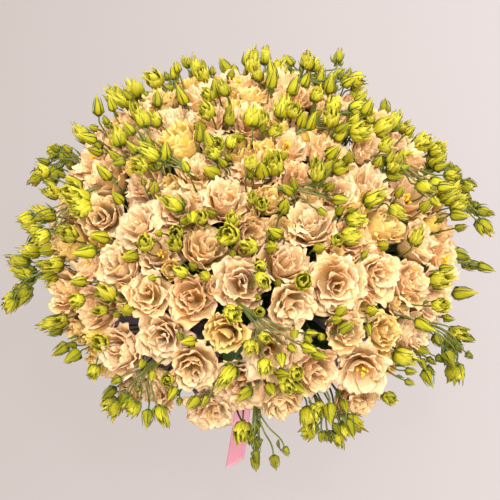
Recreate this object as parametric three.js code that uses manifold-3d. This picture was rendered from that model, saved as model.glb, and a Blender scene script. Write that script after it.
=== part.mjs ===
// A large hand-tied bouquet of double lisianthus, standing on its cut stem ends.
// Twenty-five flowering stems cross in a spiral at the tie, so that they splay out below it and
// carry a dome of blooms above it. Each stem forks into pedicels with a bloom each and into thin
// stalks with a bud each. A paper collar wraps the stems at the tie and a satin ribbon closes it.
// Millimetres, +Z up. The origin is the middle of the centre stem's cut end, on the surface.
import * as THREE from "three";
import { mergeVertices } from "three/addons/utils/BufferGeometryUtils.js";
import Module from "manifold-3d";

const wasm = await Module();
wasm.setup();

// ---- Driving dimensions ----
const TIE_HEIGHT = 150; // the stems cross here
const DOME_RADIUS = 246; // of the surface on which the blooms open
const DOME_RISE = 168;
const DOME_BASE = 252; // height of the dome's widest circle
const STEM_RADIUS = 2.3;
const PEDICEL_RADIUS = 1.25;
const STALK_RADIUS = 0.95;
const STEM_RADII = [1.15, 1.05, 1, 0.95, 0.9, 0.8, 0.6, 0.55].map((taper) => taper * STEM_RADIUS);
const SEAT_GAP = 0.3; // between pieces that lie against each other
const FORK_DEPTH = 104; // from the dome's surface down to where a stem forks
const BOW_REACH = 62; // how far above the tie a stem's bow still follows its lean there
const CUT_OFF = 8; // of each stem, below the surface, to cut it level
const ROOT_STEP = 7; // along a stem, from one pedicel's or stalk's root to the next
const BLOOMS_PER_STEM = 4;
const BLOOM_SPREAD = 46; // from the middle of a stem's spray to its outer blooms
const BUDS_PER_STEM = 9;
const BUD_SPREAD = 66; // and to the outermost place of a bud
const SOLID_BUDS = 3; // of each stem's buds, the ones that are solids here
const DEGREE = Math.PI / 180;

// The stems stand in rings: their number, the ring's radius at the tie, how far a stem leans
// there, and the polar angle on the dome that its spray is centred on.
const RINGS = [
  { count: 1, waist: 0, lean: 0, polar: 0 },
  { count: 5, waist: 6, lean: 13 * DEGREE, polar: 26 * DEGREE },
  { count: 8, waist: 11, lean: 22 * DEGREE, polar: 52 * DEGREE },
  { count: 11, waist: 16, lean: 30 * DEGREE, polar: 79 * DEGREE },
];
const RING_SHIFT = 0.37; // of the step between two stems, by which a ring is turned from the last
const SPIRAL = 66 * DEGREE; // how far a stem turns about the axis from the tie to its spray

// ---- Colours ----
const PEACH = new THREE.MeshStandardMaterial({ color: 0xf0c6a0, roughness: 0.7, metalness: 0 });
const MAUVE = new THREE.MeshStandardMaterial({ color: 0x9a7f9c, roughness: 0.85, metalness: 0 });
const PINK = new THREE.MeshStandardMaterial({ color: 0xdf8fa3, roughness: 0.4, metalness: 0 });

// ---- Random draws: one seeded sequence, read in a fixed order ----
let seed = 70417;
function random() {
  seed = (seed * 16807) % 2147483647;
  return seed / 2147483647;
}
const between = (low, high) => low + (high - low) * random();

// ---- Points and directions ----
const vec = (x, y, z) => new THREE.Vector3(x, y, z);
const along = (p, direction, distance) => p.clone().addScaledVector(direction, distance);
const DOME_CENTRE = vec(0, 0, DOME_BASE);
const TIE = vec(0, 0, TIE_HEIGHT);

// The point on the dome, raised by level, on the line from the dome's centre through p.
function onDome(p, level) {
  const q = p.clone().sub(DOME_CENTRE);
  const wide = DOME_RADIUS + level;
  const tall = DOME_RISE + level;
  return q.multiplyScalar(1 / Math.hypot(q.x / wide, q.y / wide, q.z / tall)).add(DOME_CENTRE);
}

function domeNormal(p) {
  const q = p.clone().sub(DOME_CENTRE);
  return vec(q.x / DOME_RADIUS ** 2, q.y / DOME_RADIUS ** 2, q.z / DOME_RISE ** 2).normalize();
}

// Two directions across n, the first one level where n isn't upright.
function across(n) {
  const first = Math.abs(n.z) > 0.999 ? vec(1, 0, 0) : vec(-n.y, n.x, 0).normalize();
  return [first, n.clone().cross(first)];
}

// ---- Solids and stems ----
// The same surface with its shared corners merged, as a closed solid needs.
function closed(geometry) {
  geometry.deleteAttribute("normal");
  geometry.deleteAttribute("uv");
  return mergeVertices(geometry, 1e-4);
}

function solidOf(geometry) {
  const vertProperties = new Float32Array(geometry.attributes.position.array);
  const triVerts = new Uint32Array(geometry.index.array);
  return new wasm.Manifold(new wasm.Mesh({ numProp: 3, vertProperties, triVerts }));
}

// A smooth curve whose even steps are its knots, however far apart the knots lie.
class KnottedCurve extends THREE.CatmullRomCurve3 {
  getPointAt(t, target) {
    return this.getPoint(t, target);
  }
  getTangentAt(t, target) {
    return this.getTangent(t, target);
  }
}

// A tapering stem through points, with a radius at each of them. At its second point a corner
// faces the given way.
function tube(points, radii, sides, facing = null) {
  const steps = points.length - 1;
  const extrudePath = new KnottedCurve(points);
  let turn = 0;
  if (facing) {
    const { normals, binormals } = extrudePath.computeFrenetFrames(steps, false);
    turn = Math.atan2(facing.dot(binormals[1]), facing.dot(normals[1]));
  }
  const section = new THREE.Shape();
  for (let i = 0; i < sides; i++) {
    const angle = turn + (i / sides) * 2 * Math.PI;
    section[i ? "lineTo" : "moveTo"](Math.cos(angle), Math.sin(angle));
  }
  const geometry = closed(new THREE.ExtrudeGeometry(section, { steps, extrudePath }));
  const corners = geometry.attributes.position;
  for (let i = 0; i < corners.count; i++) {
    const corner = new THREE.Vector3().fromBufferAttribute(corners, i);
    const ring = points.findIndex((p) => Math.abs(p.distanceTo(corner) - 1) < 1e-4);
    corner.sub(points[ring]).multiplyScalar(radii[ring]).add(points[ring]);
    corners.setXYZ(i, corner.x, corner.y, corner.z);
  }
  return geometry;
}

// ---- The bouquet's plan ----
// A stem's knots: from below the surface, straight through the tie, and in a bow out to the fork.
function stemKnots({ waist, lean, fork }) {
  const foot = along(waist, lean, -(TIE_HEIGHT + CUT_OFF) / lean.z);
  const bow = new THREE.QuadraticBezierCurve3(waist, along(waist, lean, BOW_REACH), fork);
  return { bow, knots: [foot, ...bow.getPoints(4)] };
}

// Draws a stem in towards the axis at the tie until it lies against one that is there already.
function settle(stem, placed) {
  for (let radius = stem.reach; radius >= 0; radius -= 0.1) {
    stem.waist = along(TIE, stem.out, radius);
    Object.assign(stem, stemKnots(stem));
    stem.shaft = solidOf(tube(stem.knots, STEM_RADII.slice(0, stem.knots.length), 4, stem.out));
    if (placed.some(({ shaft }) => shaft.minGap(stem.shaft, 1) < SEAT_GAP)) return;
  }
}

function planStems() {
  const stems = [];
  RINGS.forEach((ring, level) => {
    for (let i = 0; i < ring.count; i++) {
      const place = i + RING_SHIFT * level;
      const turn = ((place + between(-0.07, 0.07)) / ring.count) * 2 * Math.PI;
      const polar = ring.polar * between(0.96, 1.04);
      const reach = Math.sin(polar);
      const target = vec(reach * Math.cos(turn), reach * Math.sin(turn), Math.cos(polar));
      const heart = onDome(target.add(DOME_CENTRE), 0);
      const waistTurn = (place / ring.count) * 2 * Math.PI - SPIRAL;
      const out = vec(Math.cos(waistTurn), Math.sin(waistTurn), 0);
      const side = vec(-out.y, out.x, 0);
      const lean = vec(0, 0, Math.cos(ring.lean)).addScaledVector(side, Math.sin(ring.lean));
      const outward = heart.clone().sub(TIE).normalize();
      const fork = along(heart, outward, -FORK_DEPTH);
      const stem = { heart, outward, fork, lean, out, reach: ring.waist, blooms: [], buds: [] };
      settle(stem, stems);
      stems.push(stem);
    }
  });
  return stems;
}

// Four blooms to a stem: the first on its tip and the others round it.
function planBlooms(stems) {
  const blooms = [];
  stems.forEach((stem) => {
    const [u, v] = across(domeNormal(stem.heart));
    const turn = between(0, 2 * Math.PI);
    for (let k = 0; k < BLOOMS_PER_STEM; k++) {
      const radius = between(k ? 22.5 : 26, k ? 29.5 : 31.5);
      const level = between(-9, 5);
      const arm = turn + ((k + between(-0.12, 0.12)) / (BLOOMS_PER_STEM - 1)) * 2 * Math.PI;
      const reach = k ? BLOOM_SPREAD : 0;
      const flat = along(along(stem.heart, u, reach * Math.cos(arm)), v, reach * Math.sin(arm));
      const tilt = vec(between(-0.22, 0.22), between(-0.22, 0.22), between(-0.12, 0.12));
      const centre = onDome(flat, level);
      blooms.push({ stem, k, radius, level, centre, tilt, facing: between(0, 7) });
    }
  });
  return blooms;
}

// Blooms that overlap push each other apart, and a slight pull keeps them over their own stem.
const CLEARANCE = 1.4; // between two blooms' circles
const PULL = 0.004;
function relaxBlooms(blooms) {
  for (let round = 0; round < 200; round++) {
    for (let i = 0; i < blooms.length; i++) {
      const a = blooms[i];
      for (let j = i + 1; j < blooms.length; j++) {
        const b = blooms[j];
        const gap = b.centre.clone().sub(a.centre);
        const distance = gap.length();
        const over = a.radius + b.radius + CLEARANCE - distance;
        if (over < 0) continue;
        gap.multiplyScalar((0.24 * over) / distance);
        a.centre = a.centre.clone().sub(gap);
        b.centre = b.centre.clone().add(gap);
      }
      a.centre = a.centre.clone().lerp(a.stem.heart, PULL);
    }
    for (const bloom of blooms) bloom.centre = onDome(bloom.centre, bloom.level);
  }
  // What is still too near its neighbour shrinks until it is clear.
  for (const a of blooms) {
    for (const b of blooms) {
      const over = a.radius + b.radius + 0.6 - a.centre.distanceTo(b.centre);
      if (a === b || over < 0) continue;
      a.radius -= over / 2;
      b.radius -= over / 2;
    }
  }
}

function finishBlooms(blooms) {
  for (const bloom of blooms) {
    bloom.axis = domeNormal(bloom.centre).add(bloom.tilt).normalize();
    bloom.depth = 1.05 * bloom.radius + 3;
    bloom.base = along(bloom.centre, bloom.axis, -bloom.depth);
    bloom.stem.blooms.push(bloom);
  }
}

// A bud stands in a gap between blooms: of a few random places near the stem's heart, the one that
// is clearest of every bloom and of the buds already there.
function planBuds(stems, blooms) {
  const TRIES = 18;
  const placed = [];
  for (let k = 0; k < BUDS_PER_STEM; k++) {
    for (const stem of stems) {
      const [u, v] = across(domeNormal(stem.heart));
      const size = random();
      const length = 14 + 22 * size;
      const radius = 3.4 + 4.2 * size;
      let best = null;
      for (let n = 0; n < TRIES; n++) {
        const reach = BUD_SPREAD * Math.sqrt(random());
        const turn = between(0, 2 * Math.PI);
        const flat = along(along(stem.heart, u, reach * Math.cos(turn)), v, reach * Math.sin(turn));
        const site = onDome(flat, 0);
        let clear = 1e9;
        for (const bloom of blooms) {
          clear = Math.min(clear, site.distanceTo(bloom.centre) - bloom.radius);
        }
        for (const bud of placed) {
          clear = Math.min(clear, site.distanceTo(bud.site) - bud.radius - radius - 3);
        }
        for (const other of stems) {
          if (other !== stem && site.distanceTo(other.heart) < site.distanceTo(stem.heart)) clear -= 12;
        }
        if (!best || clear > best.clear) best = { site, clear };
      }
      const normal = domeNormal(best.site);
      const [a, b] = across(normal);
      const axis = along(along(normal, a, between(-0.3, 0.3)), b, between(-0.3, 0.3)).normalize();
      const rise = 5 + 42 * random() * random();
      const base = along(best.site, axis, rise);
      const under = along(best.site, normal, -30);
      const bud = { ...best, radius, length, axis, base, under, size };
      placed.push(bud);
      stem.buds.push(bud);
    }
  }
}

const stems = planStems();
const blooms = planBlooms(stems);
relaxBlooms(blooms);
finishBlooms(blooms);
planBuds(stems, blooms);

// ---- Blooms, buds and leaves ----
function meshOf(name, solid, material) {
  const { vertProperties, triVerts } = solid.getMesh();
  const geometry = new THREE.BufferGeometry();
  geometry.setAttribute("position", new THREE.BufferAttribute(vertProperties, 3));
  geometry.setIndex(new THREE.BufferAttribute(triVerts, 1));
  geometry.computeVertexNormals();
  const mesh = new THREE.Mesh(geometry, material);
  mesh.name = name;
  return mesh;
}

// The largest body of a solid: cutting can leave a loose scrap, which is dropped.
function largest(solid) {
  return solid.decompose().reduce((a, b) => (b.volume() > a.volume() ? b : a));
}

// Turns a geometry's own +Z to an axis, and its +X to a facing direction, and moves it to a place.
function place(geometry, base, axis, facing = across(axis)[0]) {
  const matrix = new THREE.Matrix4().makeBasis(facing, axis.clone().cross(facing), axis);
  return geometry.applyMatrix4(matrix.setPosition(base));
}

// A body of revolution about +Z. The profile's points are [radius, height], from the bottom up.
function turned(profile, sides) {
  const points = profile.map(([r, z]) => new THREE.Vector2(r, z));
  return closed(new THREE.LatheGeometry(points, sides).rotateX(Math.PI / 2));
}

// A double bloom as one closed surface: the cup, five reflexed outer petals, five inner petals set
// between them, and the throat. Even columns are petals' middles, odd ones notches.
const BLOOM_COLUMNS = 10;
function bloomSolid(bloom) {
  const { radius: r, depth } = bloom;
  const profile = [[0, -depth], [0.68 * r, -0.5 * depth], [r, 0], [0.6 * r, 0.1 * r], [0, -0.3 * r]];
  const geometry = turned(profile, BLOOM_COLUMNS);
  const corners = geometry.attributes.position;
  for (let i = 0; i < corners.count; i++) {
    const x = corners.getX(i);
    const y = corners.getY(i);
    const z = corners.getZ(i);
    const ring = Math.hypot(x, y) / r;
    if (ring < 0.01 || z < -0.4 * depth) continue;
    const petal = Math.cos((BLOOM_COLUMNS / 2) * Math.atan2(x, y)); // 1 on a middle, -1 on a notch
    const pull = ring > 0.9 ? 0.91 + 0.09 * petal : 0.92 - 0.16 * petal;
    corners.setXYZ(i, x * pull, y * pull, z - 0.12 * r * petal);
  }
  const facing = across(bloom.axis)[0].applyAxisAngle(bloom.axis, bloom.facing);
  return solidOf(place(geometry, bloom.centre, bloom.axis, facing));
}

// A leaf is one thin ovate blade, grown from inside the stem.
const LEAF_LENGTH = 58;
const LEAF_WIDTH = 24;
const LEAF_THICKNESS = 0.9;
const LEAF_ROOT = 1.2; // how far its foot reaches back, into the stem
function leafSolid({ base, axis, facing }) {
  const half = [[1.2, -LEAF_ROOT], [0.5 * LEAF_WIDTH, 0.36 * LEAF_LENGTH], [0.5, LEAF_LENGTH]];
  const shape = new THREE.Shape();
  half.forEach(([x, y], i) => shape[i ? "lineTo" : "moveTo"](x, y));
  [...half].reverse().forEach(([x, y]) => shape.lineTo(-x, y));
  const blade = new THREE.ExtrudeGeometry(shape, { depth: LEAF_THICKNESS, bevelEnabled: false });
  blade.translate(0, 0, -LEAF_THICKNESS / 2).rotateX(Math.PI / 2);
  return solidOf(place(closed(blade), base, axis, facing));
}

// Places that a stem's leaf could take: round the stem, a little above or below its upper third.
function* leafPlaces(stem) {
  for (let n = 0; n < 24; n++) {
    const t = 0.72 + 0.05 * (n % 4);
    const base = stem.bow.getPoint(t);
    const tangent = stem.bow.getTangent(t);
    const [u, v] = across(tangent);
    const turn = 0.4 + (n * 2 * Math.PI) / 6.5;
    const facing = u.multiplyScalar(Math.cos(turn)).addScaledVector(v, Math.sin(turn));
    const side = tangent.clone().cross(facing);
    const axis = tangent.clone().addScaledVector(side, 0.75).normalize();
    yield { base, axis, facing };
  }
}

// Where a pedicel ends inside a bloom: a little to the side of the cup's point.
const bloomRoot = ({ base, axis }) => along(along(base, axis, 4), across(axis)[0], 2.2);

// A stem's knots, and on to its first bloom.
function stemPoints({ knots, blooms: [bloom] }) {
  return [...knots, along(bloom.base, bloom.axis, -24), bloomRoot(bloom)];
}

const GROUND = solidOf(closed(new THREE.BoxGeometry(600, 600, 60).translate(0, 0, -30)));

// A pedicel leaves the stem near the fork, each at a height of its own.
function pedicelSolid(stem, bloom, k) {
  const bend = along(bloom.base, bloom.axis, -30);
  const root = along(stem.fork, stem.outward, -ROOT_STEP * k);
  const radii = [1.15, 1, 1].map((taper) => taper * PEDICEL_RADIUS);
  const curve = new THREE.QuadraticBezierCurve3(root, bend, bloomRoot(bloom));
  return solidOf(tube(curve.getPoints(2), radii, 3));
}

// A bud with its stalk: the stalk's last knots are the bud's base, its widest ring and its tip.
// Its root lies halfway between two pedicels' roots.
function budOnStalk(stem, bud, k) {
  const root = along(stem.fork, stem.outward, -ROOT_STEP * (k + 0.5));
  const { under, base, axis, length, radius } = bud;
  const points = [root, under, base, along(base, axis, 0.4 * length), along(base, axis, length)];
  return solidOf(tube(points, [STALK_RADIUS, STALK_RADIUS, STALK_RADIUS, radius, 0.4], 3));
}

function bloomingStem(stem) {
  const parts = [solidOf(tube(stemPoints(stem), STEM_RADII, 4, stem.out)).subtract(GROUND)];
  stem.blooms.forEach((bloom, k) => {
    parts.push(bloomSolid(bloom));
    if (k) parts.push(pedicelSolid(stem, bloom, k));
  });
  return wasm.Manifold.union(parts);
}

// ---- The paper collar: a thin shell round all the stems, flared and waved above and below ----
const PAPER_COLUMNS = 16;
const PAPER_WAVES = 4;
const PAPER_THICKNESS = 1.2;
const THROAT_RADIUS = 18.5; // inside the paper, where the ribbon draws it in
const THROAT_HEIGHT = TIE_HEIGHT - 1;
const RIM_RADIUS = 190;
const FLARE_HEIGHT = 100; // the flare under the tie lies below this
const FLARE_WAVE = 0.05; // of its radius, each way
const RIM_WAVE = 8; // height of the rim's waves, each way
// The inner side from the lower edge to the rim, each point with the way out to the outer side.
const PAPER_PROFILE = [
  [44, 88, 0.9, 0.5],
  [THROAT_RADIUS + 2.2, THROAT_HEIGHT - 12, 1, 0],
  [THROAT_RADIUS, THROAT_HEIGHT, 1, 0],
  [THROAT_RADIUS + 3.4, THROAT_HEIGHT + 11, 1, 0],
  [33, 173, 0.9, -0.6],
  [60, 189, 0.6, -0.9],
  [120, 213, 0.4, -1],
  [RIM_RADIUS, 234, 0.4, -1],
];
function paperCollar() {
  const inner = PAPER_PROFILE.map(([r, z]) => [r, z]);
  const outer = PAPER_PROFILE.map(([r, z, dr, dz]) => [
    r + dr * PAPER_THICKNESS,
    z + dz * PAPER_THICKNESS,
  ]);
  const geometry = turned([...outer, ...inner.reverse(), outer[0]], PAPER_COLUMNS);
  const corners = geometry.attributes.position;
  for (let i = 0; i < corners.count; i++) {
    const x = corners.getX(i);
    const y = corners.getY(i);
    const z = corners.getZ(i);
    const out = (Math.hypot(x, y) - THROAT_RADIUS) / (RIM_RADIUS - THROAT_RADIUS);
    const wave = Math.cos(PAPER_WAVES * Math.atan2(y, x));
    const pull = z < FLARE_HEIGHT ? 1 + FLARE_WAVE * (1 + wave) : 1;
    const drop = z > THROAT_HEIGHT ? RIM_WAVE * out * out * (1 - wave) : 0;
    corners.setXYZ(i, x * pull, y * pull, z - drop);
  }
  return solidOf(geometry);
}

// ---- The ribbon: a band round the collar's waist, its knot, and two tails, all one strip ----
const RIBBON_WIDTH = 22;
const RIBBON_THICKNESS = 0.9;
const BAND_RADIUS = THROAT_RADIUS + PAPER_THICKNESS + 0.35; // inside the band, at the throat
const KNOT = vec(0, -(BAND_RADIUS + RIBBON_THICKNESS + 4.7), THROAT_HEIGHT);
// Each tail falls from the knot in one upright plane. Its points are the way out from the knot and
// the height, and its turn is that plane's angle from the front, clockwise seen from above.
const LONG_TAIL = {
  turn: 8 * DEGREE,
  points: [[0, 145], [17, 116], [40, 80], [63, 42], [80, 15], [92, 2.6], [110, 0.7], [156, 0.7]],
};
const SHORT_TAIL = { turn: -24 * DEGREE, points: [[0, 145], [15, 124], [29, 98], [36, 70]] };
const CUT_ANGLE = 32 * DEGREE; // of a tail's slanted end
function tailSolid({ turn, points }) {
  const [w, t] = [RIBBON_WIDTH / 2, RIBBON_THICKNESS / 2];
  const corners = [[-w, -t], [w, -t], [w, t], [-w, t]];
  const section = new THREE.Shape(corners.map(([x, y]) => new THREE.Vector2(x, y)));
  const extrudePath = new KnottedCurve(points.map(([out, z]) => vec(0, -out, z)));
  const strip = new THREE.ExtrudeGeometry(section, { steps: points.length - 1, extrudePath });
  const [out, z] = points.at(-1);
  const [beforeOut, beforeZ] = points.at(-2);
  const waste = new THREE.BoxGeometry(3 * RIBBON_WIDTH, 40, 40).translate(0, -20, 0);
  waste.rotateZ(CUT_ANGLE).rotateX(Math.atan2(beforeZ - z, out - beforeOut));
  waste.translate(0, 8 - out, z);
  const cut = solidOf(closed(strip)).subtract(solidOf(closed(waste)));
  return cut.rotate([0, 0, -turn / DEGREE]).translate([KNOT.x, KNOT.y, 0]);
}
function ribbonSolid() {
  const half = RIBBON_WIDTH / 2;
  const inner = [[BAND_RADIUS + 2.1, -half], [BAND_RADIUS, 0], [BAND_RADIUS + 3.5, half]];
  const outer = inner.map(([r, z]) => [r + RIBBON_THICKNESS, z]);
  const ring = [...outer, ...inner.reverse(), outer[0]].map(([r, z]) => [r, z + THROAT_HEIGHT]);
  const band = solidOf(turned(ring, PAPER_COLUMNS));
  const ball = new THREE.SphereGeometry(1, 7, 5).scale(8, 5, 9).translate(KNOT.x, KNOT.y, KNOT.z);
  const knot = solidOf(closed(ball));
  return wasm.Manifold.union([band, knot, tailSolid(LONG_TAIL), tailSolid(SHORT_TAIL)]);
}

const crosses = (solid, others, shared = 0) => (
  others.some((other) => solid.intersect(other).volume() > shared)
);
const LEAF_HOLD = 14; // mm3 that a leaf's root may share with its own stem
const STALK_HOLD = 9; // and a bud's stalk
const LEAST_EDGE = 0.05; // joins leave no shorter edges

const paper = paperCollar();
const ribbon = ribbonSolid();
const grown = stems.map(bloomingStem);
stems.forEach((stem, i) => {
  const others = [paper, ribbon, ...grown.filter((other, j) => j !== i)];
  // A leaf takes the first place where it crosses no other stem.
  const leaves = [];
  for (const placed of leafPlaces(stem)) {
    const leaf = leafSolid(placed);
    if (leaves.length || crosses(leaf, others) || crosses(leaf, [grown[i]], LEAF_HOLD)) continue;
    leaves.push(leaf);
  }
  // The clearest buds come first, and one that would cross another stem gives way to the next.
  const sprigs = [];
  for (const bud of [...stem.buds].sort((a, b) => b.clear - a.clear)) {
    if (sprigs.length === SOLID_BUDS) break;
    const sprig = budOnStalk(stem, bud, sprigs.length);
    if (!crosses(sprig, others) && !crosses(sprig, [grown[i]], STALK_HOLD)) sprigs.push(sprig);
  }
  const whole = largest(wasm.Manifold.union([grown[i], ...leaves, ...sprigs]));
  grown[i] = whole.simplify(LEAST_EDGE);
});

const bouquet = new THREE.Group();
stems.forEach((stem, i) => {
  bouquet.add(meshOf(`lisianthus_${String(i + 1).padStart(2, "0")}`, grown[i], PEACH));
});
bouquet.add(meshOf("paper_collar", paper, MAUVE));
bouquet.add(meshOf("ribbon", ribbon, PINK));

export default bouquet;
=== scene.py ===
# %% [markdown]
# # A hand-tied bouquet of double lisianthus
# The bouquet is a dome of a hundred ruffled peach blooms with yellow-green buds standing out of it,
# on twenty-five stems that cross in a spiral at the tie. Mauve paper wraps the stems there and a pink
# satin ribbon closes it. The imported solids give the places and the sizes. Here each of them is
# replaced by finer pieces: thin petals, furled buds, leaves with veins, creased paper and satin.

# %% The frame
import math
from types import SimpleNamespace

import bmesh
import bpy
import numpy as np
from mathutils import Matrix, Vector, kdtree, noise


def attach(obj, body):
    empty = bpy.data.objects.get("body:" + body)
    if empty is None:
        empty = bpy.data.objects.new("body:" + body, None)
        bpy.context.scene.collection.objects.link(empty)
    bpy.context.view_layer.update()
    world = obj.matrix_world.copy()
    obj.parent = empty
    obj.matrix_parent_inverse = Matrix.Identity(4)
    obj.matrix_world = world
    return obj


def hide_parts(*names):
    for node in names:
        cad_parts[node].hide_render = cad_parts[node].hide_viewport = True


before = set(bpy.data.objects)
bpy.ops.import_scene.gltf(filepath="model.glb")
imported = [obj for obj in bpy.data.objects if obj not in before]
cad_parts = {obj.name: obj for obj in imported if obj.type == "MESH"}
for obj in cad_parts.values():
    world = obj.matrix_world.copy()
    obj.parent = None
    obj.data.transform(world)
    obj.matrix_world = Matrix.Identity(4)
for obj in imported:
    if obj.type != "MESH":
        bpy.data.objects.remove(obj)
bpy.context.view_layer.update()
TAU = 2 * math.pi
DEGREE = math.pi / 180

# %% [markdown]
# ## The plan of the bouquet
# Blooms could be scattered by hand or by a particle system, but then they would not lie where the
# solids lie. So the plan is worked out again by the same rule, from the same driving dimensions and
# with the same seeded draws in the same order. All lengths are metres.

# %% Driving dimensions
TIE_HEIGHT = 0.150
DOME_RADIUS = 0.246
DOME_RISE = 0.168
DOME_BASE = 0.252
FORK_DEPTH = 0.104
BOW_REACH = 0.062
ROOT_STEP = 0.007
BLOOMS_PER_STEM = 4
BLOOM_SPREAD = 0.046
BUDS_PER_STEM = 9
MORE_BUDS = 4
MORE_OUTER_BUDS = 6
YOUNG_PER_STEM = 3
BUD_SPREAD = 0.066
RING_SHIFT = 0.37
SPIRAL = 66 * DEGREE
RINGS = [  # of stems: how far they lean at the tie, and how far down the dome they end
    SimpleNamespace(count=1, lean=0, polar=0),
    SimpleNamespace(count=5, lean=13 * DEGREE, polar=26 * DEGREE),
    SimpleNamespace(count=8, lean=22 * DEGREE, polar=52 * DEGREE),
    SimpleNamespace(count=11, lean=30 * DEGREE, polar=79 * DEGREE),
]


# %% Draws, points and directions
class Draws:
    """A seeded sequence of numbers from 0 to 1."""

    def __init__(self, seed):
        self.seed = seed

    def random(self):
        self.seed = self.seed * 16807 % 2147483647
        return self.seed / 2147483647

    def between(self, low, high):
        return low + (high - low) * self.random()


def vec(x, y, z):
    return np.array([x, y, z], float)


def unit(v):
    return v / math.sqrt(v @ v)


def distances(points, place):
    return np.linalg.norm(np.array(points).reshape(-1, 3) - place, axis=1)


DOME_CENTRE = vec(0, 0, DOME_BASE)
DOME_SIZE = vec(DOME_RADIUS, DOME_RADIUS, DOME_RISE)
TIE = vec(0, 0, TIE_HEIGHT)


def on_dome(p, level=0.0):
    """The point on the dome, raised by level, on the line from the dome's centre through p."""
    q = p - DOME_CENTRE
    return q / np.linalg.norm(q / (DOME_SIZE + level)) + DOME_CENTRE


def dome_normal(p):
    return unit((p - DOME_CENTRE) / DOME_SIZE**2)


def across(n):
    """Two directions across n, the first one level where n isn't upright."""
    first = vec(1, 0, 0) if abs(n[2]) > 0.999 else unit(vec(-n[1], n[0], 0))
    return first, np.cross(n, first)


def around(n, turn):
    """The direction across n that is turned about it."""
    first, second = across(n)
    return first * math.cos(turn) + second * math.sin(turn)


def lean_across(n, most, draw):
    """A drawn vector across n, at most this long each way."""
    first, second = across(n)
    return first * draw.between(-most, most) + second * draw.between(-most, most)


# %% Stems
def corners_of(node):
    return np.array([v.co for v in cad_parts[node].data.vertices], float)


def cut_end(node):
    """The middle of a stem's cut end, which lies on the surface."""
    corners = corners_of(node)
    ends = np.unique(np.round(corners[corners[:, 2] < 1e-4], 5), axis=0)
    return vec(*((ends.min(0) + ends.max(0)) / 2)[:2], 0)


def bow(stem, t):
    """The stem's curve from the tie, at t = 0, to its fork, at t = 1."""
    bend = stem.waist + stem.lean * BOW_REACH
    return stem.waist * (1 - t) ** 2 + bend * 2 * t * (1 - t) + stem.fork * t**2


def plan_stems(draw):
    stems = []
    for level, ring in enumerate(RINGS):
        for i in range(ring.count):
            place = i + RING_SHIFT * level
            turn = (place + draw.between(-0.07, 0.07)) / ring.count * TAU
            polar = ring.polar * draw.between(0.96, 1.04)
            reach = math.sin(polar)
            target = vec(reach * math.cos(turn), reach * math.sin(turn), math.cos(polar))
            waist_turn = place / ring.count * TAU - SPIRAL
            stem = SimpleNamespace(node=f"lisianthus_{len(stems) + 1:02d}", blooms=[], buds=[], young=[])
            stem.heart = on_dome(target + DOME_CENTRE)
            stem.lean = vec(-math.sin(waist_turn), math.cos(waist_turn), 0) * math.sin(ring.lean)
            stem.lean[2] = math.cos(ring.lean)
            stem.outward = unit(stem.heart - TIE)
            stem.fork = stem.heart - stem.outward * FORK_DEPTH
            stem.foot = cut_end(stem.node)
            stem.waist = stem.foot + stem.lean * TIE_HEIGHT / stem.lean[2]
            stems.append(stem)
    return stems


# %% Blooms: four to a stem, which push each other apart until they lie side by side
CLEARANCE = 0.0014
LAST_CLEARANCE = 0.0006
SURELY_CLEAR = 0.02
PULL = 0.004
PUSH = 0.24
PUSH_ROUNDS = 200
FIRST_RADIUS = (0.026, 0.0315)  # of a stem's first bloom, at the least and at the most
BLOOM_RADIUS = (0.0225, 0.0295)
LEVELS = (-0.009, 0.005)
TILTS = (0.22, 0.22, 0.12)


def plan_blooms(stems, draw):
    blooms = []
    for stem in stems:
        normal = dome_normal(stem.heart)
        turn = draw.between(0, TAU)
        for k in range(BLOOMS_PER_STEM):
            bloom = SimpleNamespace(stem=stem)
            bloom.radius = draw.between(*(BLOOM_RADIUS if k else FIRST_RADIUS))
            bloom.level = draw.between(*LEVELS)
            arm = turn + (k + draw.between(-0.12, 0.12)) / (BLOOMS_PER_STEM - 1) * TAU
            flat = stem.heart + around(normal, arm) * (BLOOM_SPREAD if k else 0)
            bloom.centre = on_dome(flat, bloom.level)
            bloom.tilt = vec(*[draw.between(-size, size) for size in TILTS])
            bloom.facing = draw.between(0, 7)
            blooms.append(bloom)
            stem.blooms.append(bloom)
    return blooms


def relax(blooms):
    """Pushes neighbours apart, pulls each to its stem, and last trims what still overlaps."""
    for _ in range(PUSH_ROUNDS):
        for i, a in enumerate(blooms):
            later = blooms[i + 1 :]
            reach = np.array([b.radius for b in later]) + a.radius + SURELY_CLEAR
            for k in np.flatnonzero(distances([b.centre for b in later], a.centre) < reach):
                b = later[k]
                gap = b.centre - a.centre
                distance = math.sqrt(gap @ gap)
                over = a.radius + b.radius + CLEARANCE - distance
                if over >= 0:
                    a.centre = a.centre - gap * (PUSH * over / distance)
                    b.centre = b.centre + gap * (PUSH * over / distance)
            a.centre = a.centre + (a.stem.heart - a.centre) * PULL
        for bloom in blooms:
            bloom.centre = on_dome(bloom.centre, bloom.level)
    for a in blooms:
        for b in blooms:
            gap = a.centre - b.centre
            over = a.radius + b.radius + LAST_CLEARANCE - math.sqrt(gap @ gap)
            if a is not b and over >= 0:
                a.radius -= over / 2
                b.radius -= over / 2
    for bloom in blooms:
        bloom.axis = unit(dome_normal(bloom.centre) + bloom.tilt)
        bloom.base = bloom.centre - bloom.axis * (1.05 * bloom.radius + 0.003)


# %% Buds: each takes the clearest of a few places between the blooms
TRIES = 18
CROWDED = 0.012
STALK_DEPTH = 0.030


def place_near(stem, draw, level=0.0):
    """A drawn place on the dome, at most BUD_SPREAD from a stem's heart."""
    reach = BUD_SPREAD * math.sqrt(draw.random())
    aside = around(dome_normal(stem.heart), draw.between(0, TAU))
    return on_dome(stem.heart + aside * reach, level)


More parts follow.
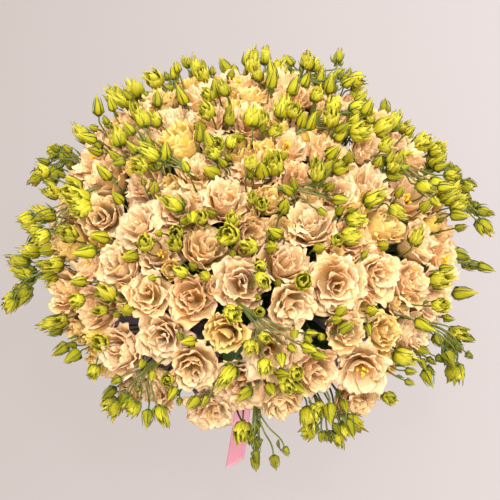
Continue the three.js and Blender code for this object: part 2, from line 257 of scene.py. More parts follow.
def plan_buds(stems, blooms, rounds, draw):
    centres = [bloom.centre for bloom in blooms]
    radii = [bloom.radius for bloom in blooms]
    hearts = [stem.heart for stem in stems]
    sites = []
    sizes = []
    for stem in stems * rounds:
        size = draw.random()
        bud = SimpleNamespace(size=size, length=0.014 + 0.022 * size, radius=0.0034 + 0.0042 * size)
        best = -1e9
        for _ in range(TRIES):
            site = place_near(stem, draw)
            clear = (distances(centres, site) - radii).min()
            if sites:
                clear = min(clear, (distances(sites, site) - sizes).min() - bud.radius - 0.003)
            nearer = distances(hearts, site) < math.dist(site, stem.heart) - 1e-12
            clear -= CROWDED * nearer.sum()
            if clear > best:
                best = clear
                bud.site = site
        normal = dome_normal(bud.site)
        bud.axis = unit(normal + lean_across(normal, 0.3, draw))
        bud.base = bud.site + bud.axis * (0.005 + 0.042 * draw.random() * draw.random())
        bud.way = [bud.site - normal * STALK_DEPTH]
        sites.append(bud.site)
        sizes.append(bud.radius)
        stem.buds.append(bud)


plan_draws = Draws(70417)
stems = plan_stems(plan_draws)
blooms = plan_blooms(stems, plan_draws)
relax(blooms)
plan_buds(stems, blooms, BUDS_PER_STEM, plan_draws)
print(len(stems), "stems,", len(blooms), "blooms,", sum(len(s.buds) for s in stems), "buds")

# %% [markdown]
# Buds grow in little groups, because one stalk forks into several. The solids carry only single
# buds, so here many of them get neighbours, most of all on the outer stems. Small blooms that are
# still half open fill the clearest places. Sprays of buds on long stalks lean over the blooms and
# hang out over the edge, less far at the front, where the ribbon's end is seen.

# %% More buds, and blooms that are half open
GROUP_STEP = 0.013
OUTER_STEMS = 14
DROOP = vec(0, 0, -0.35)
YOUNG_RADIUS = (0.013, 0.018)
YOUNG_LEVEL = -0.004
SPRAY_BUDS = 7
SPRAY_STEP = 2
SPRAY_REACH = (0.020, 0.050)
FRONT_REACH = 0.7
RIBBON_VIEW = (-0.022, -0.235)  # no more buds here, where the ribbon's end is seen past the edge
RIBBON_BUD_STEM = 21  # the third bud of this stem is moved aside, for the same reason
RIBBON_BUD_SHIFT = vec(0.018, 0, 0.012)


def in_front_gap(p):
    """Whether p is low at the front, where leaves and paper show."""
    return abs(p[0]) < 0.13 and p[1] < -0.15


def hides_ribbon(p, half_width):
    return abs(p[0] - RIBBON_VIEW[0]) < half_width and p[1] < RIBBON_VIEW[1]


def added_bud(size):
    """A bud that has no solid, from its size between 0 and 1."""
    return SimpleNamespace(size=size, length=0.015 + 0.018 * size, radius=0.0038 + 0.0040 * size)


def clearest(sites, centres, radii):
    """The one of some sites that is furthest from the blooms."""
    return max(sites, key=lambda site: (distances(centres, site) - radii).min())


def group_buds(stems, draw):
    for number, stem in enumerate(stems):
        outer = number >= OUTER_STEMS
        parents = stem.buds[:]
        for _ in range(MORE_OUTER_BUDS if outer else MORE_BUDS):
            parent = parents[int(draw.random() * len(parents))]
            normal = dome_normal(parent.site)
            step = around(normal, draw.between(0, TAU)) * GROUP_STEP * draw.between(0.8, 1.5)
            bud = added_bud(draw.between(0.15, 1.0))
            bud.site = on_dome(parent.site + step)
            if hides_ribbon(bud.site, 0.026):
                continue
            sway = step / GROUP_STEP * 0.45 + (DROOP if outer else 0)
            bud.axis = unit(normal + sway)
            bud.base = bud.site + normal * draw.between(0.0, 0.024)
            bud.way = [bud.site - normal * STALK_DEPTH]
            stem.buds.append(bud)


def half_open_blooms(stems, blooms, rounds, draw):
    """Small blooms, still closing over their hearts, in the clearest places between the others."""
    centres = [bloom.centre for bloom in blooms]
    radii = [bloom.radius for bloom in blooms]
    for stem in stems * rounds:
        sites = [place_near(stem, draw, YOUNG_LEVEL) for _ in range(TRIES)]
        young = SimpleNamespace(centre=clearest(sites, centres, radii))
        young.radius = draw.between(*YOUNG_RADIUS)
        lean = lean_across(dome_normal(stem.heart), 0.4, draw)
        young.axis = unit(dome_normal(young.centre) + lean)
        young.facing = draw.between(0, 7)
        young.base = young.centre - young.axis * young.radius
        centres.append(young.centre)
        radii.append(young.radius)
        if not in_front_gap(young.centre):
            stem.young.append(young)


def add_spray(stem, count, site, ahead, fall, arch, draw):
    """Buds on long stalks that leave the dome at site and fan out ahead, falling as they go."""
    side = unit(np.cross(dome_normal(site), ahead))
    for k in range(count):
        fan = 2 * k / (count - 1) - 1
        bud = added_bud(draw.between(0.0, 0.8))
        reach = draw.between(*SPRAY_REACH) * (FRONT_REACH if ahead[1] < -0.8 else 1)
        bud.base = site + ahead * reach + side * fan * draw.between(0.008, 0.034)
        bud.base = bud.base + fall * reach * draw.between(0.5, 0.9)
        bud.axis = unit(ahead * 0.6 + side * fan * 0.5 + fall * draw.between(0.4, 1.1))
        if hides_ribbon(bud.base, 0.022):
            continue
        bud.site = site
        bud.way = [site - ahead * 0.025 - arch * 0.03, site + (bud.base - site) * 0.45 + arch * reach]
        stem.buds.append(bud)


def clear_place(stem, level, low, high, draw):
    """The clearest of a few places on the dome near a stem, from low to high above its heart."""
    u, v = across(dome_normal(stem.heart))
    sites = []
    for _ in range(TRIES):
        flat = stem.heart + u * draw.between(-0.06, 0.06) + v * draw.between(low, high)
        sites.append(on_dome(flat, level))
    return clearest(sites, [bloom.centre for bloom in blooms], [bloom.radius for bloom in blooms])


half_open_blooms(stems, blooms, YOUNG_PER_STEM, Draws(57))
print(sum(len(s.young) for s in stems), "half-open blooms")
group_buds(stems, Draws(31))
spray_draws = Draws(83)
for stem in stems[OUTER_STEMS:]:  # over the edge, hanging
    site = clear_place(stem, 0.006, -0.03, 0.01, spray_draws)
    ahead = unit(vec(site[0], site[1], 0))
    add_spray(stem, SPRAY_BUDS, site, ahead, vec(0, 0, -1), vec(0, 0, 0.3), spray_draws)
for stem in stems[1:OUTER_STEMS:SPRAY_STEP]:  # over the blooms, away from the dome's top
    site = clear_place(stem, 0.002, -0.05, 0.05, spray_draws)
    normal = dome_normal(site)
    aside = around(normal, spray_draws.between(0, TAU))
    ahead = unit(aside * 0.8 - across(normal)[1]) * 1.2
    add_spray(stem, SPRAY_BUDS - 2, site, ahead, normal * 0.7, normal * 0.15, spray_draws)
ribbon_bud = stems[RIBBON_BUD_STEM].buds[2]
ribbon_bud.base = ribbon_bud.base + RIBBON_BUD_SHIFT
print(sum(len(s.buds) for s in stems), "buds with their groups")

# %% [markdown]
# ## Colours and finishes
# Petals, paper and satin each need a finish whose colour changes over the surface. Painted pictures
# would do that too, but a finish worked out by nodes has no seams and stays sharp at any distance.
# One small class makes the nodes. A wire is the output of a node, and a sum on wires adds a node for
# it. A colour is written as a code, such as f3c9a6.


# %% A wire and a finish
MAP = "shape"


def paint(code):
    """A colour code as the linear numbers that a socket takes."""
    parts = [int(code[i : i + 2], 16) / 255 for i in (0, 2, 4)]
    return (*[p / 12.92 if p <= 0.04045 else ((p + 0.055) / 1.055) ** 2.4 for p in parts], 1.0)


class Wire:
    """The output of a node. A sum or product of wires and numbers adds a Math node."""

    def __init__(self, finish, socket):
        self.finish = finish
        self.socket = socket

    def math(self, operation, first, second):
        return self.finish.node("ShaderNodeMath", {"operation": operation}, {0: first, 1: second})

    def __add__(self, other):
        return self.math("ADD", self, other)

    def __sub__(self, other):
        return self.math("SUBTRACT", self, other)

    def __rsub__(self, other):
        return self.math("SUBTRACT", other, self)

    def __mul__(self, other):
        return self.math("MULTIPLY", self, other)

    def __abs__(self):
        return self.math("ABSOLUTE", self, 0.0)


class Finish:
    """A material and the nodes that it is made of."""

    def __init__(self, name):
        self.material = bpy.data.materials.new(name)
        self.material.use_nodes = True
        self.tree = self.material.node_tree
        self.tree.nodes.clear()

    def node(self, kind, settings=(), inputs=(), output=0):
        """Adds a node. An input is a wire, a number or a colour code."""
        made = self.tree.nodes.new(kind)
        for name, value in dict(settings).items():
            setattr(made, name, value)
        for name, value in dict(inputs).items():
            if isinstance(value, Wire):
                self.tree.links.new(value.socket, made.inputs[name])
            else:
                made.inputs[name].default_value = paint(value) if isinstance(value, str) else value
        return Wire(self, made.outputs[output]) if len(made.outputs) else made

    def blend(self, factor, first, second):
        sockets = {0: factor, 6: first, 7: second}
        return self.node("ShaderNodeMix", {"data_type": "RGBA", "clamp_factor": True}, sockets, 2)

    def ramp(self, factor, stops):
        """Colours that change along factor, from stops of a place and a colour code."""
        made = self.node("ShaderNodeValToRGB", (), {0: factor})
        elements = made.socket.node.color_ramp.elements
        while len(elements) < len(stops):
            elements.new(0.5)
        for element, (place, code) in zip(elements, stops):
            element.position = place
            element.color = paint(code)
        return made

    def attribute(self, name):
        return self.node("ShaderNodeAttribute", {"attribute_name": name}, output="Fac")

    def across_and_along(self):
        """The two coordinates of the UV map, which each grid and ball keeps as it is bent."""
        place = self.node("ShaderNodeUVMap", {"uv_map": MAP})
        return [self.node("ShaderNodeSeparateXYZ", (), {0: place}, k) for k in (0, 1)]

    def grain(self, scale, detail=3.0, stretch=(1, 1, 1)):
        """Noise on the object's own coordinates, in grains per metre."""
        place = self.node("ShaderNodeTexCoord", output="Object")
        mapped = self.node("ShaderNodeMapping", (), {"Vector": place, "Scale": stretch})
        return self.node("ShaderNodeTexNoise", (), {"Vector": mapped, "Scale": scale, "Detail": detail})

    def threads(self, x, y, z=0.0, detail=2.0):
        """Noise on coordinates that are stretched unequally, which gives veins and threads."""
        place = self.node("ShaderNodeCombineXYZ", (), {0: x, 1: y, 2: z})
        return self.node("ShaderNodeTexNoise", (), {"Vector": place, "Scale": 1.0, "Detail": detail})

    def bump(self, height, distance, strength=1.0):
        sockets = {"Height": height, "Distance": distance, "Strength": strength}
        return self.node("ShaderNodeBump", (), sockets)

    def surface(self, sockets):
        return self.node("ShaderNodeBsdfPrincipled", (), sockets)

    def lit_through(self, surface, glow, share):
        """A thin surface, where a share of the light from behind shows as a glow."""
        through = self.node("ShaderNodeBsdfTranslucent", (), {"Color": glow})
        return self.node("ShaderNodeMixShader", (), {0: share, 1: surface, 2: through})

    def done(self, shader):
        self.node("ShaderNodeOutputMaterial", (), {"Surface": shader})
        print(self.material.name, "finish,", len(self.tree.nodes), "nodes")
        return self.material


# %% [markdown]
# A petal is thin, so light from behind it shows through as a warm glow. The finish mixes a little of
# that glow into an ordinary soft surface. Along the petal the colour runs from golden green at the
# foot through apricot to cream, with a thin brown rim. The deep golden foot is partly the petal's own
# colour and partly painted warm shade of the folds deep in the bloom. The brown rim is partly the
# petal's own edge and partly a painted shade line between overlapping petals. Fine veins cross it,
# small specks keep it from looking waxy, and it changes from petal to petal. A younger bloom is
# yellower at its heart.

# %% Petals and pollen
f = Finish("petal")
u, v = f.across_and_along()
tone = f.attribute("tone")
youth = f.attribute("youth")
# Painted shade: the golden foot and the brown rim of this ramp also stand for shade deep in the bloom
# and between the petals.
body = f.ramp(v, [
    (0.0, "c4a624"),
    (0.18, "f0c044"),
    (0.42, "f8da86"),
    (0.72, "f6dcae"),
    (0.90, "f6daac"),
    (0.96, "f8e6cc"),
    (1.0, "e4ae76"),
])
pale = f.blend(f.grain(40.0) * 2.4 - 0.85 + tone * 0.6, body, "f4e2c8")
rosy = f.blend(tone * -0.9 + f.grain(34.0) * 1.8 - 1.0, pale, "f2c08c")
young = f.blend(youth * (1.35 - v * 0.7), rosy, "f0d86a")
veins = f.threads(u * 18.0, v * 2.2, tone * 9.0, 3.0)
veined = f.blend(abs(veins - 0.5) * 2.4 * (1.1 - v * 0.6), young, "e4b448")
specked = f.blend(f.grain(420.0, 2.0) * 2.4 - 1.2, veined, "e8bc6c")
petal_surface = f.surface({
    "Base Color": specked,
    "Roughness": 0.62,
    "Specular IOR Level": 0.2,
    "Sheen Weight": 0.2,
    "Sheen Roughness": 0.4,
    "Normal": f.bump(veins * 0.5 + f.grain(260.0, 2.0), 0.0022, 0.85),
})
petal_skin = f.done(f.lit_through(petal_surface, "ffd04c", 0.32))

f = Finish("pollen")
grains = f.grain(1500.0, 2.0)
pollen_skin = f.done(f.surface({
    "Base Color": f.blend(grains, "e8a81c", "f6d23c"),
    "Roughness": 0.8,
    "Normal": f.bump(grains, 0.0003, 0.8),
}))

# %% [markdown]
# A bud is greener than a petal and lets less light through. Darker lines run up its five folds,
# because lines and folds are counted in the same five steps round it. The lines are painted shade,
# in the creases where one furled petal overlaps the next.

# %% Buds
f = Finish("bud")
u, v = f.across_and_along()
tone = f.attribute("tone")
body = f.ramp(v, [(0.0, "807a0a"), (0.25, "a49e12"), (0.6, "beb526"), (1.0, "ccc24a")])
# The tone darkens a bud towards olive. Small closed buds have that colour, and at the dome's edge the
# added tone is painted shade.
olive_tone_and_edge_shade = f.blend(tone * 1.1 + f.grain(60.0) * 0.6 - 0.3, body, "646406")
# Painted shade: darker lines in the creases between the furled petals.
fold = f.node("ShaderNodeMath", {"operation": "FRACT"}, {0: u * 5.0})
painted_crease_shade = abs(fold - 0.5) * 6.0 - 2.2
veins = f.threads(u * 60.0, v * 4.0, tone * 9.0)
veined = f.blend(abs(veins - 0.5) * 1.3, olive_tone_and_edge_shade, "a09a16")
bud_surface = f.surface({
    "Base Color": f.blend(painted_crease_shade * 0.55, veined, "6c6c14"),
    "Roughness": 0.55,
    "Specular IOR Level": 0.15,
    "Normal": f.bump(veins, 0.0005, 0.7),
})
bud_skin = f.done(f.lit_through(bud_surface, "d4c828", 0.2))

# %% Stems and leaves
f = Finish("green")
streaks = f.grain(260.0, 2.0, (1, 1, 0.15))
body = f.blend(f.grain(30.0), "4a541a", "747c28")
green_skin = f.done(f.surface({
    "Base Color": f.blend(streaks * 0.8, body, "303a12"),
    "Roughness": 0.5,
    "Normal": f.bump(streaks, 0.0003, 0.4),
}))

f = Finish("leaf")
u, v = f.across_and_along()
side = abs(u - 0.5) * 2.0
ribs = [abs(side - (1.0 - v * 0.6) * place) * -14.0 + 1.0 for place in (0.0, 0.42)]
rib = f.node("ShaderNodeMath", {"operation": "MAXIMUM", "use_clamp": True}, {0: ribs[0], 1: ribs[1]})
body = f.blend(f.grain(70.0), "22401a", "3c5a26")
leaf_surface = f.surface({
    "Base Color": f.blend(rib * 0.6, body, "6c8446"),
    "Roughness": 0.46,
    "Normal": f.bump(rib * -0.6 + f.grain(420.0) * 0.3, 0.0005, 0.6),
})
leaf_skin = f.done(f.lit_through(leaf_surface, "5e7c24", 0.18))

# %% Paper and satin
f = Finish("paper")
fibres = f.grain(900.0, 4.0, (1, 1, 3))
creases = abs(f.grain(45.0, 2.0) - 0.5)
body = f.blend(f.grain(22.0), "9484a4", "a898bc")
paper_skin = f.done(f.surface({
    "Base Color": f.blend(fibres * 0.5, body, "c2b6d0"),
    "Roughness": 0.82,
    "Normal": f.bump(fibres * 0.1 + creases * 1.6, 0.004, 0.6),
}))

f = Finish("satin")
u, v = f.across_and_along()
weave = f.threads(u * 3.0, v * 420.0)
edge = f.node("ShaderNodeMath", {"operation": "GREATER_THAN"}, {0: abs(u - 0.5) * 2.0, 1: 0.93})
body = f.blend(weave, "c87e94", "da9aac")
satin_skin = f.done(f.surface({
    "Base Color": f.blend(edge * 0.6, body, "bc7088"),
    "Roughness": weave * 0.12 + 0.3,
    "Sheen Weight": 0.4,
    "Sheen Roughness": 0.3,
    "Normal": f.bump(weave + edge * 0.6, 0.0002, 0.5),
}))

# %% [markdown]
# ## Petals and blooms
# A double lisianthus has about twenty petals in whorls. Each petal starts as a flat grid, and a
# formula bends it: a side view curve gives how it rises from the foot and rolls over at the rim, its
# width is an angle round the bloom, waves that grow towards the rim give the ruffled edge, and noise
# dents it. A few such blooms are made as patterns, at a radius of 1, and copied to the hundred places.

# %% Making shapes
KEEP_NEAR = 1.6


def new_shape():
    bm = bmesh.new()
    bm.loops.layers.uv.new(MAP)
    bm.verts.layers.float.new("tone")
    bm.verts.layers.float.new("youth")
    return bm


def as_mesh(bm, name):
    for face in bm.faces:
        face.smooth = True
    mesh = bpy.data.meshes.new(name)
    bm.to_mesh(mesh)
    bm.free()
    return mesh


def flat_grid(bm, columns, rows):
    """The vertices of a new grid, with their places across, from -1 to 1, and along, from 0 to 1."""
    grid = bmesh.ops.create_grid(bm, x_segments=columns, y_segments=rows, size=0.5, calc_uvs=True)
    return [(vert, 2 * vert.co.x, vert.co.y + 0.5) for vert in grid["verts"]]


def ball(bm, columns, rows):
    made = bmesh.ops.create_uvsphere(bm, u_segments=columns, v_segments=rows, radius=1, calc_uvs=True)
    return made["verts"]


def spin_profile(bm, profile, steps, cuts=0):
    """Spins points of radius and height round the axis, after cuts more are put between each two."""
    knots = [bm.verts.new((radius, 0, height)) for radius, height in profile]
    edges = [bm.edges.new(pair) for pair in zip(knots, knots[1:])]
    if cuts:
        bmesh.ops.subdivide_edges(bm, edges=edges, cuts=cuts, smooth=0.6)
    line = bm.verts[:] + bm.edges[:]
    bmesh.ops.spin(bm, geom=line, cent=(0, 0, 0), axis=(0, 0, 1), angle=TAU, steps=steps, use_merge=True)
    bmesh.ops.recalc_face_normals(bm, faces=bm.faces[:])


def thicken(bm, thickness):
    """Gives a thin shape two sides. At a sharp fold the new side would shoot out, so it is kept near."""
    bm.normal_update()
    tree = kdtree.KDTree(len(bm.verts))
    for i, vert in enumerate(bm.verts):
        tree.insert(vert.co, i)
    tree.balance()
    bmesh.ops.solidify(bm, geom=bm.faces[:], thickness=thickness)
    most = KEEP_NEAR * thickness
    for vert in bm.verts:
        near, _, distance = tree.find(vert.co)
        if distance > most:
            vert.co = near + (vert.co - near) * (most / distance)


def rod(bm, points, radii, sides, skin):
    """A tapering rod through points, closed at both ends."""
    points = [Vector(p) for p in points]
    rings = []
    for i, (point, radius) in enumerate(zip(points, radii)):
        ahead = points[min(i + 1, len(points) - 1)] - points[max(i - 1, 0)]
        matrix = Matrix.Translation(point) @ ahead.to_track_quat("Z", "Y").to_matrix().to_4x4()
        ring = bmesh.ops.create_circle(bm, segments=sides, radius=radius, matrix=matrix)["verts"]
        rings.append(list(dict.fromkeys(edge for vert in ring for edge in vert.link_edges)))
    made = []
    for below, above in zip(rings, rings[1:]):
        made += bmesh.ops.bridge_loops(bm, edges=below + above)["faces"]
    for end in (rings[0], rings[-1]):
        made += bmesh.ops.edgeloop_fill(bm, edges=end)["faces"]
    bmesh.ops.recalc_face_normals(bm, faces=made)
    for face in made:
        face.material_index = skin


# %% The petal
looks = Draws(2024)
noise.seed_set(7)  # without a seed of its own, noise_vector differs from run to run


def bezier(curve, t):
    """A point on the curve of four [reach, height] knots."""
    weights = ((1 - t) ** 3, 3 * t * (1 - t) ** 2, 3 * t * t * (1 - t), t**3)
    return [sum(w * knot[k] for w, knot in zip(weights, curve)) for k in (0, 1)]


def add_petal(bm, whorl, turn):
    """Adds one petal of a whorl, its middle at the angle turn."""
    grow = looks.between(0.86, 1.10)
    lift = looks.between(-0.12, 0.12)
    twist = looks.between(-0.15, 0.15) + whorl.twist
    flop = looks.between(0.0, 0.25) if looks.random() < 0.35 else 0.0
    phases = [looks.between(0, TAU) for _ in range(6)]
    waves = looks.between(0.8, 1.25)
    tone = looks.between(-0.35, 0.35)
    spot = Vector([looks.between(0, 50) for _ in range(3)])
    layer = bm.verts.layers.float["tone"]
    for vert, u, v in flat_grid(bm, whorl.columns, whorl.rows):
        along = v * (1 - 0.30 * abs(u) ** 2.6)
        fringe = 0.045 * math.sin(4 * u + phases[0]) + whorl.fringe * math.sin(13 * u + phases[5])
        along += fringe * v**5
        reach, height = bezier(whorl.curve, along)
        edge = along**3
        wave = math.sin(3.6 * waves * u + phases[1]) + 0.75 * math.sin(10.5 * waves * u + phases[2])
        roll = math.cos(4.0 * waves * u + phases[3]) + 0.75 * math.sin(9.0 * waves * u + phases[4])
        height += whorl.ruffle * edge * wave + lift * along - flop * edge
        reach = reach * grow + whorl.ruffle * 0.8 * edge * roll + flop * edge
        reach *= 1 + 0.08 * u * along
        width = whorl.half * (0.62 + 0.38 * math.sin(math.pi * min(1, along) ** 1.3))
        angle = turn + u * width + twist * along
        place = Vector((reach * math.cos(angle), reach * math.sin(angle), height))
        place += noise.noise_vector(place * 1.7 + spot) * 0.08 * along
        vert.co = place + noise.noise_vector(place * 5.0 + spot) * 0.075 * along * along
        vert[layer] = tone


# %% The whorls of a bloom, from the outermost in
def whorl(count, half, ruffle, curve, twist=0.0, columns=15, rows=7, fringe=0.03):
    """Petals side by side. Half is half a petal's width in degrees, curve its side view."""
    return SimpleNamespace(count=count, half=half * DEGREE, ruffle=ruffle, curve=curve, twist=twist,
                           columns=columns, rows=rows, fringe=fringe)


OPEN_WHORLS = [
    whorl(5, 47, 0.078, [(0.05, -1.02), (0.72, -0.86), (0.84, -0.08), (1.14, -0.16)], 0.0, 17),
    whorl(5, 50, 0.078, [(0.05, -1.00), (0.66, -0.76), (0.62, 0.04), (0.90, 0.12)], 0.1),
    whorl(4, 60, 0.070, [(0.04, -0.95), (0.52, -0.70), (0.45, 0.10), (0.66, 0.24)], 0.2),
    whorl(4, 62, 0.055, [(0.03, -0.90), (0.38, -0.60), (0.29, 0.08), (0.42, 0.30)], 0.35, 11, 6),
    whorl(3, 80, 0.040, [(0.03, -0.85), (0.24, -0.50), (0.14, 0.06), (0.20, 0.30)], 0.6, 8, 5),
]
PETAL_THICKNESS = 0.012


def changed(w, **values):
    """A copy of a whorl with some of its values changed."""
    return SimpleNamespace(**{**vars(w), **values})


def closing(whorls, close):
    """The same whorls less open: the rims move in and up."""
    shares = [close * k / 3 for k in range(4)]
    for w in whorls:
        curve = [(r * (1 - 0.30 * s), z + 0.22 * s) for s, (r, z) in zip(shares, w.curve)]
        yield changed(w, curve=curve, ruffle=w.ruffle * (1 - 0.3 * close), twist=w.twist + 0.3 * close)


def add_calyx(bm, curve, reach, thickness, sepals=5):
    """Narrow sepals that lie along a side view curve, and the green foot that they stand on."""
    foot = bezier(curve, 0)[1]
    rod(bm, [(0, 0, foot - 0.04), (0, 0, foot + 0.06)], [1.1 * thickness, 2.2 * thickness], 7, 1)
    for k in range(sepals):
        turn = TAU * k / sepals + looks.between(-0.2, 0.2)
        points, radii = [], []
        for t in (0.04, 0.35, 0.7, 1.0):
            out, height = bezier(curve, reach * t)
            out += thickness * (0.4 + looks.between(0, 2.2) * t**4)
            points.append((out * math.cos(turn), out * math.sin(turn), height))
            radii.append(thickness * (1 - 0.8 * t * t))
        rod(bm, points, radii, 3, 1)


def add_stamens(bm, stamens=7):
    """The yellow heart of a wide open bloom: stamens round an upright pistil."""
    for k in range(stamens):
        turn = TAU * k / stamens + looks.between(-0.3, 0.3)
        lean = looks.between(0.10, 0.2) if k else 0.02
        top = looks.between(-0.1, 0.12)
        x, y = lean * math.cos(turn), lean * math.sin(turn)
        points = [(0, 0, -0.85), (x, y, top - 0.1), (x, y, top), (x, y, top + 0.08)]
        rod(bm, points, [0.02, 0.02, 0.055, 0.03], 5, 2)


def bloom_pattern(name, close, youth, whorls, most_columns=17, most_rows=7):
    bm = new_shape()
    for level, w in enumerate(closing(OPEN_WHORLS[:whorls], close)):
        shift = Vector((looks.between(-0.05, 0.05), looks.between(-0.05, 0.05), 0)) * level
        first = len(bm.verts)
        w.columns = min(w.columns, most_columns)
        w.rows = min(w.rows, most_rows)
        for k in range(w.count):
            add_petal(bm, w, math.pi / 2 + TAU * (k + 0.5 * (level % 2)) / w.count)
        bm.verts.ensure_lookup_table()
        bmesh.ops.translate(bm, vec=shift, verts=bm.verts[first:])
    thicken(bm, PETAL_THICKNESS)
    layer = bm.verts.layers.float["youth"]
    for vert in bm.verts:
        vert[layer] = youth
    if close < 0.2 and whorls < len(OPEN_WHORLS):
        add_stamens(bm)
    add_calyx(bm, OPEN_WHORLS[0].curve, 0.42, 0.05)
    return as_mesh(bm, name)


# Each kind is how far the bloom closes, how young it is coloured, and its number of whorls.
BLOOM_KINDS = [
    (0.0, 0.0, 5), (0.15, 0.0, 5), (0.3, 0.15, 5), (0.5, 0.0, 5), (0.1, 0.1, 3), (0.75, 0.3, 5),
    (1.0, 0.8, 4), (0.9, 1.0, 5), (0.2, 0.05, 5), (0.4, 0.1, 5),
]
YOUNG_KINDS = [(1.1, 0.9, 3), (0.7, 0.6, 3), (1.3, 1.1, 3), (0.9, 0.25, 3)]
bloom_patterns = [bloom_pattern(f"bloom_{k}", *kind) for k, kind in enumerate(BLOOM_KINDS)]
young_patterns = [bloom_pattern(f"young_{k}", *kind, 10, 6) for k, kind in enumerate(YOUNG_KINDS)]
print("bloom pattern faces", [len(m.polygons) for m in bloom_patterns + young_patterns])

# %% [markdown]
# ## Buds
# A bud is furled: its five petals wind round each other. It starts as a ball of fifteen columns. Three
# columns make one fold, along which the girth shrinks and then steps out again, and the folds turn as
# they rise. Other buds are loosening, their tips already apart, and are made of small petals.


# %% Furled and loosening buds, one unit long and one unit in radius
def bud_pattern(name, waist, twist):
    """A furled bud. The waist is the reach of the side view's third knot."""
    bm = new_shape()
    side = [(0.0, 0.0), (1.75, 0.03), (waist, 0.62), (0.0, 1.0)]
    for vert in ball(bm, 15, 8):
        t = (vert.co.z + 1) / 2
        turn = math.atan2(vert.co.y, vert.co.x)
        girth, height = bezier(side, t)
        girth *= 1.16 - 0.36 * ((5 * turn / TAU + 0.01) % 1) * min(1, 2.5 * t)
        turn += twist * t
        vert.co = (girth * math.cos(turn), girth * math.sin(turn), height)
    add_calyx(bm, [(r * 1.12, z) for r, z in side], 0.82, 0.13)
    return as_mesh(bm, name)


LOOSE_THICKNESS = 0.05
LOOSE_WHORLS = [
    whorl(5, 62, 0.16, [(0.1, 0.02), (1.5, 0.06), (0.95, 0.52), (0.85, 0.86)], 0.9, 8, 4, 0.07),
    whorl(4, 66, 0.14, [(0.1, 0.05), (1.05, 0.25), (0.60, 0.70), (0.36, 1.00)], 1.3, 6, 4, 0.07),
]


def loose_bud_pattern(name, flare):
    bm = new_shape()
    for w in LOOSE_WHORLS:
        curve = [(r * (1 + flare * j / 3), z) for j, (r, z) in enumerate(w.curve)]
        for k in range(w.count):
            add_petal(bm, changed(w, curve=curve), TAU * k / w.count)
    thicken(bm, LOOSE_THICKNESS)
    add_calyx(bm, [(r * 1.12, z) for r, z in LOOSE_WHORLS[0].curve], 0.8, 0.14)
    return as_mesh(bm, name)


FURLED_KINDS = [(0.45, 1.6), (0.2, 2.2), (0.05, 1.2)]
FLARES = [-0.25, 0.0, 0.2, 0.5]
bud_patterns = [bud_pattern(f"bud_{k}", *kind) for k, kind in enumerate(FURLED_KINDS)]
loose_patterns = [loose_bud_pattern(f"loose_bud_{k}", flare) for k, flare in enumerate(FLARES)]
print("bud pattern faces", [len(m.polygons) for m in bud_patterns + loose_patterns])


# %% Copies of a pattern
def placed(origin, axis, facing, sizes=(1, 1, 1)):
    """The matrix that sets a pattern's +Z along axis and its +X along facing."""
    basis = Matrix([list(facing), list(np.cross(axis, facing)), list(axis)]).transposed().to_4x4()
    return Matrix.Translation(origin) @ basis @ Matrix.Diagonal((*sizes, 1))


def stamp(bm, pattern, matrix, tone=0):
    """Adds a copy of a pattern and shifts its tone."""
    first = len(bm.verts)
    bm.from_mesh(pattern)
    bm.verts.ensure_lookup_table()
    added = bm.verts[first:]
    bmesh.ops.transform(bm, matrix=matrix, verts=added)
    layer = bm.verts.layers.float["tone"]
    for vert in added:
        vert[layer] += tone


def add_object(name, data):
    made = bpy.data.objects.new(name, data)
    bpy.context.scene.collection.objects.link(made)
    return made


def piece(name, bm, skins, node):
    """Makes a shape a piece of the bouquet that stands for a CAD node."""
    mesh = as_mesh(bm, name)
    for skin in skins:
        mesh.materials.append(skin)
    made = add_object(name, mesh)
    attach(made, "root")
    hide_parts(node)
    return made


# %% [markdown]
# ## The hundred blooms
# Each stem carries four. One pattern's copies could show, so each is turned, tilted and toned on its
# own, and a tighter or younger pattern is taken now and then, as on a real spray. The half-open
# blooms go into the same piece.

# %% Blooms on their stems
BLOOM_SCALE = 1.13
BLOOM_ORDER = [0, 3, 1, 8, 2, 5, 4, 9, 1, 6, 0, 3, 7, 2, 8, 1, 5, 9, 0, 4, 2, 6, 3]
count = 0
for number, stem in enumerate(stems, 1):
    bm = new_shape()
    for bloom in stem.blooms:
        axis = unit(bloom.axis + around(bloom.axis, looks.between(0, TAU)) * looks.between(0.0, 0.4))
        size = bloom.radius * BLOOM_SCALE
        matrix = placed(bloom.centre, axis, unit(around(axis, bloom.facing)), (size,) * 3)
        pattern = bloom_patterns[BLOOM_ORDER[count % len(BLOOM_ORDER)]]
        stamp(bm, pattern, matrix, looks.between(-0.5, 0.5))
        count += 1
    for young in stem.young:
        pattern = young_patterns[int(looks.random() * len(young_patterns))]
        size = young.radius * looks.between(1.1, 1.3)
        facing = around(young.axis, young.facing)
        matrix = placed(young.centre, young.axis, facing, (size, size, size * 1.2))
        stamp(bm, pattern, matrix, looks.between(-0.4, 0.6))
    piece(f"blooms_{number:02d}", bm, [petal_skin, green_skin, pollen_skin], stem.node)
print(count, "blooms placed")

